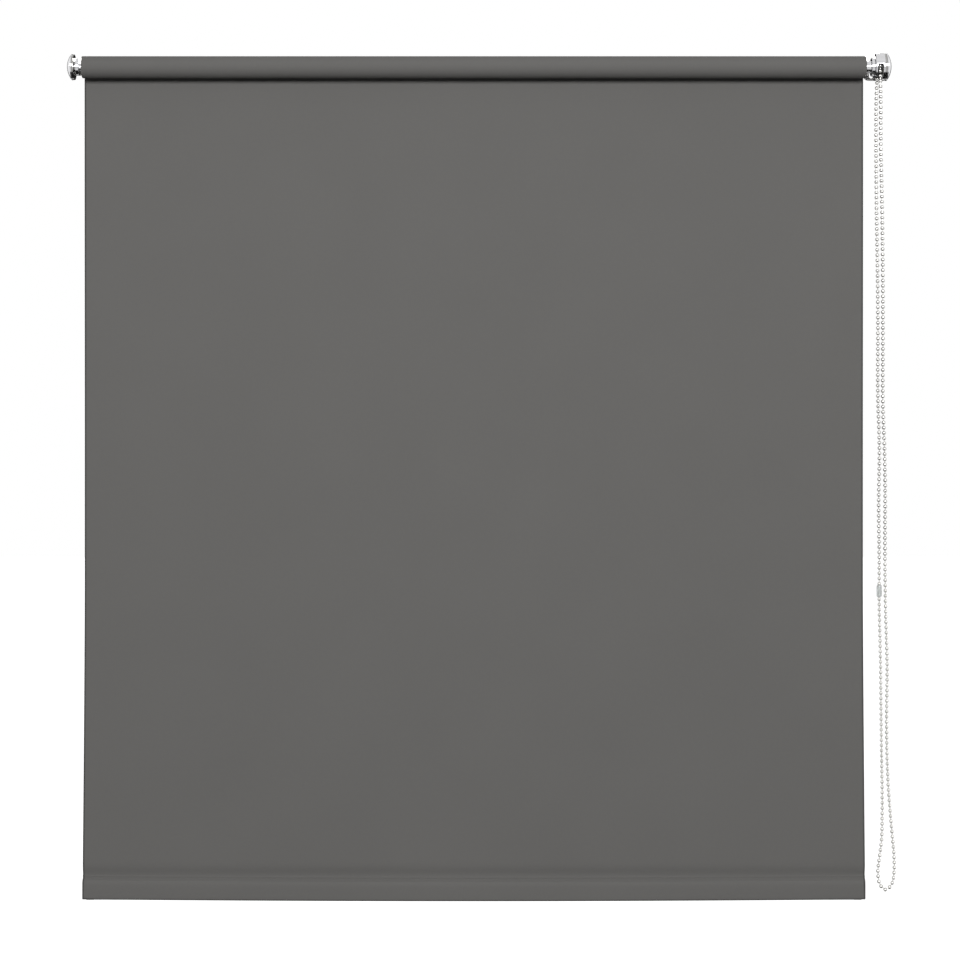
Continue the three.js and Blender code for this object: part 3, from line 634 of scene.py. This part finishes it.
def hem_sections():
    """The pocket's outside and inside in the Y-Z plane, from the weld down the front and back up.

    The front has the cut end's lip, the pressed strip below it, the step out to the pocket, and the
    pocket's flat front. The back has no lip, because the hanging piece runs into the weld there.
    """
    weld_low = hem_height - WELD
    front = [
        (SET_BACK - CLOTH, hem_height), (SET_BACK - CLOTH * 1.35, hem_height - 0.0003),
        (SET_BACK - CLOTH * 1.35, hem_height - 0.0012), (SET_BACK - CLOTH * 0.7, hem_height - 0.002),
        (SET_BACK - CLOTH * 0.7, weld_low + 0.0008), (SET_BACK * 0.6 - CLOTH * 1.1, weld_low),
        (-pocket * 0.5, weld_low - 0.0016), (-pocket * 0.84, weld_low - 0.0042),
        (-pocket * 0.96, weld_low - 0.007), (-pocket, weld_low - 0.011),
        (-pocket, pocket + 0.003), (-pocket, pocket),
    ]
    turn = [(-pocket * math.cos(a), pocket - pocket * math.sin(a))
            for a in (math.pi * k / 12 for k in range(1, 12))]
    back = [
        (pocket, pocket), (pocket, pocket + 0.003), (pocket, weld_low - 0.011),
        (pocket * 0.96, weld_low - 0.006), (pocket * 0.8, weld_low - 0.0024),
        (SET_BACK + CLOTH * 1.1, weld_low), (SET_BACK + CLOTH, hem_height),
    ]
    outside = front + turn + back
    hollow = (pocket - CLOTH) / pocket
    inside = [(-pocket * 0.8 * hollow, weld_low - 0.0048), (-pocket * hollow, weld_low - 0.008)]
    inside += [(-(pocket - CLOTH) * math.cos(a), pocket - (pocket - CLOTH) * math.sin(a))
               for a in (math.pi * k / 12 for k in range(13))]
    inside += [(pocket * hollow, weld_low - 0.008), (pocket * 0.8 * hollow, weld_low - 0.0036)]
    return outside, inside


def hem_solid(columns=60):
    """The hem along X, with its pocket open at both ends."""
    outside, inside = hem_sections()
    section = outside + inside
    size, n = len(section), len(outside)
    points, faces = [], []
    for x in (half_width * share for share in spaced_across(columns)):
        low = hem_low.z + bow_at(x)
        points += [(flared(x, low), hem_middle + y, low + z) for y, z in section]
    last = len(points) - size
    for a in range(0, last, size):
        for first, count in ((0, n), (n, size - n)):
            ring = [a + first + k for k in range(count)]
            faces += [(p, q, q + size, p + size) for p, q in zip(ring, ring[1:] + ring[:1])]
    end = bmesh.new()
    loops = [[end.verts.new((y, z, 0)) for y, z in loop] for loop in (outside, inside)]
    edges = [end.edges.new(pair) for loop in loops for pair in zip(loop, loop[1:] + loop[:1])]
    end.verts.index_update()
    filled = bmesh.ops.triangle_fill(end, use_beauty=True, edges=edges)["geom"]
    caps = [[v.index for v in f.verts] for f in filled if isinstance(f, bmesh.types.BMFace)]
    end.free()
    faces += caps + [[last + i for i in cap] for cap in caps]
    return mesh_object("hem", points, faces, cloth)


hem = hem_solid()
# The hem's bottom turn is marked for painted shade.
mark_cut_edges_and_painted_crease(hem)
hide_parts("hem_pocket")
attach(hem, "bottom_bar")

# ---- The bottom bar -----------------------------------------------------------------------------
# A flat oval of extruded aluminium with a grey plug in each end. It lies loose in the hem and its
# weight keeps the cloth straight.
SAME_PLANE = math.radians(0.2)
ROUNDED_OVER = math.radians(35)  # edges sharper than this get a rounding


def refined(node, name, finish, body, edge=0.0):
    """A CAD piece with its triangles joined into faces, smooth shading and rounded edges."""
    work = bmesh.new()
    work.from_mesh(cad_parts[node].data)
    bmesh.ops.remove_doubles(work, verts=work.verts, dist=1e-6)
    if edge:
        bmesh.ops.dissolve_limit(
            work, angle_limit=SAME_PLANE, verts=work.verts, edges=work.edges)
    mesh = bpy.data.meshes.new(name)
    work.to_mesh(mesh)
    work.free()
    mesh.shade_smooth()
    mesh.materials.clear()
    mesh.materials.append(finish)
    made = bpy.data.objects.new(name, mesh)
    scene.collection.objects.link(made)
    if edge:
        bevel = made.modifiers.new("edge", "BEVEL")
        bevel.width = edge
        bevel.segments = 2
        bevel.limit_method = "ANGLE"
        bevel.angle_limit = ROUNDED_OVER
        made.modifiers.new("normals", "WEIGHTED_NORMAL")
    else:
        mesh.set_sharp_from_angle(angle=SMOOTH_UP_TO)
    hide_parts(node)
    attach(made, body)
    return made


# Mill-finish aluminium: pale, with fine drawing lines along the bar.
aluminium, aluminium_tree, aluminium_shader = material(
    "mill-finish aluminium", "#C9CBCD", 0.36, 1.0)
drawn = object_places(aluminium_tree, (3, 900, 900))
uneven(aluminium_tree, aluminium_shader, drawn, 1.0, 0.28, 0.46)
refined("bottom_bar", "bar_extrusion", aluminium, "bottom_bar")

# Grey ABS, moulded with a fine spark-eroded texture.
grey_abs, grey_tree, grey_shader = material("grey ABS", "#5E5D5B", 0.5, IOR=1.54)
grain = uneven(grey_tree, grey_shader, object_places(grey_tree), 0.0006, 0.42, 0.6)
bumped(grey_tree, grey_shader, grain, 0.00002)
for side in ("left", "right"):
    refined(
        f"bottom_bar_cap_{side}", f"bar_plug_{side}", grey_abs, "bottom_bar", 0.0003)

# ---- The roller tube ----------------------------------------------------------------------------
# A 22 mm tube rolled from galvanised steel, with double-sided tape under the first turn of cloth. The
# zinc is a dull blue-grey with cloudy patches, and the tape is a waxy cream film.
galvanised, galvanised_tree, galvanised_shader = material(
    "galvanised steel tube", "#AEB2B5", 0.4, 1.0)
uneven(galvanised_tree, galvanised_shader, object_places(galvanised_tree), 0.009, 0.3, 0.52)
refined("roller_tube", "steel_tube", galvanised, "roller")
tape, tape_tree, tape_shader = material("acrylic tape", "#D9D3C1", 0.6, IOR=1.47)
uneven(tape_tree, tape_shader, object_places(tape_tree), 0.0025, 0.5, 0.7)
refined("fixing_tape", "tape_strip", tape, "roller")

# ---- The brackets -------------------------------------------------------------------------------
# Each is pressed from 1.5 mm steel and bright nickel plated: a flange with two screw slots on the wall,
# and a side plate that ends in a round nose on the roller's axis. The plate mirrors what is round it.
bright_nickel, plate_tree, plate_shader = material("bright nickel plate", "#BFBEBB", 0.07, 1.0)
uneven(plate_tree, plate_shader, object_places(plate_tree), 0.006, 0.04, 0.1)
refined("bracket_drive", "drive_bracket", bright_nickel, "root", 0.00025)
refined("bracket_idle", "idle_bracket", bright_nickel, "root", 0.00025)

# ---- The bracket covers -------------------------------------------------------------------------
# Moulded ABS caps with a bright chrome finish, clipped over the outside of each side plate. Each has
# a short straight rim with a rounded edge, and a low dome. The chrome is a clean, faintly rippled mirror.
COVER_RIM = 0.0014
COVER_WALL = 0.0012
chrome, chrome_tree, chrome_shader = material("chromed ABS", "#E8E8EA", 0.06, 1.0)
peel = uneven(chrome_tree, chrome_shader, object_places(chrome_tree), 0.004, 0.03, 0.11)
bumped(chrome_tree, chrome_shader, peel, 0.00002)


def dome_line(radius, depth, steps=14):
    """(along, radius) points of the low dome, from its edge to its middle."""
    rise = depth - COVER_RIM
    ball = (radius ** 2 + rise ** 2) / (2 * rise)
    full = math.asin(radius / ball)
    angles = [full * (1 - i / steps) for i in range(steps + 1)]
    return [(depth - ball * (1 - math.cos(a)), ball * math.sin(a)) for a in angles]


def cover(name, node, side):
    low, high = (Vector(c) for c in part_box(node))
    radius, depth = (high.z - low.z) / 2, high.x - low.x
    edge = rounded(
        [(0, radius - COVER_WALL), (0, radius), (COVER_RIM, radius)], [0, 0.0004, 0])
    outside = dome_line(radius, depth)
    inside = dome_line(radius - COVER_WALL, depth - COVER_WALL)
    profile = edge[:-1] + outside + inside[::-1]
    start = low.x if side > 0 else high.x
    made = revolved(name, profile, (start, AXIS_Y, 0), (side, 0, 0), chrome, 96)
    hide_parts(node)
    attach(made, "root")


cover("drive_cover", "bracket_cover_drive", 1)
cover("idle_cover", "bracket_cover_idle", -1)

# ---- The chain housing --------------------------------------------------------------------------
# A chromed ABS drum round the sprocket, with a window in front through which the chain runs, and an
# outlet underneath.
refined("chain_housing", "housing_drum", chrome, "root", 0.00035)

# ---- The drive ----------------------------------------------------------------------------------
# The acetal sprocket turns on a fixed nylon spindle, and its sleeve drives the crown in the tube. Two
# wrap springs on the spindle hold the blind where it is left. The neck and the collar are chromed.
refined("drive_crown", "crown", chrome, "roller", 0.0002)
refined("drive_collar", "collar", chrome, "roller", 0.0004)

# Moulded nylon: off-white, with a soft shine that wanders.
nylon, nylon_tree, nylon_shader = material("white nylon", "#E4E4E0", 0.42, IOR=1.53)
uneven(nylon_tree, nylon_shader, object_places(nylon_tree), 0.0012, 0.34, 0.52)

# Moulded acetal: nearly black and a little glossier, polished by the balls.
acetal, acetal_tree, acetal_shader = material("dark grey acetal", "#2E2F30", 0.38, IOR=1.48)
uneven(acetal_tree, acetal_shader, object_places(acetal_tree), 0.0012, 0.3, 0.46)
refined("sprocket", "pocket_wheel", acetal, "roller")
refined("drive_spindle", "spindle", nylon, "root", 0.0002)

# Zinc plate on the screw and drawn wire in the springs: plain grey metal with a broken shine.
zinc, zinc_tree, zinc_shader = material("zinc-plated screw", "#B9BBBC", 0.32, 1.0)
uneven(zinc_tree, zinc_shader, object_places(zinc_tree), 0.0011, 0.25, 0.42)
refined("spindle_screw", "crown_screw", zinc, "root", 0.0002)
spring_steel, wire_tree, wire_shader = material("drawn spring wire", "#8F9194", 0.3, 1.0)
uneven(wire_tree, wire_shader, object_places(wire_tree), 0.0008, 0.22, 0.4)
for i in (1, 2):
    refined(f"clutch_spring_{i}", f"wrap_spring_{i}", spring_steel, "root")

# ---- The idle end -------------------------------------------------------------------------------
# A chromed bush in the bracket takes the sprung pin, which stands out of the nylon plug in the tube.
# Pressing the pin back frees the roller.
refined("idle_socket", "socket_bush", chrome, "root", 0.0004)
refined("idle_pin", "sprung_pin", chrome, "idle_pin", 0.0003)
refined("idle_plug", "tube_plug", nylon, "roller", 0.0002)
refined("spring_seat", "seat", nylon, "roller", 0.0002)
pin_spring = refined("idle_spring", "pin_spring", spring_steel, "roller")
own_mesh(pin_spring)
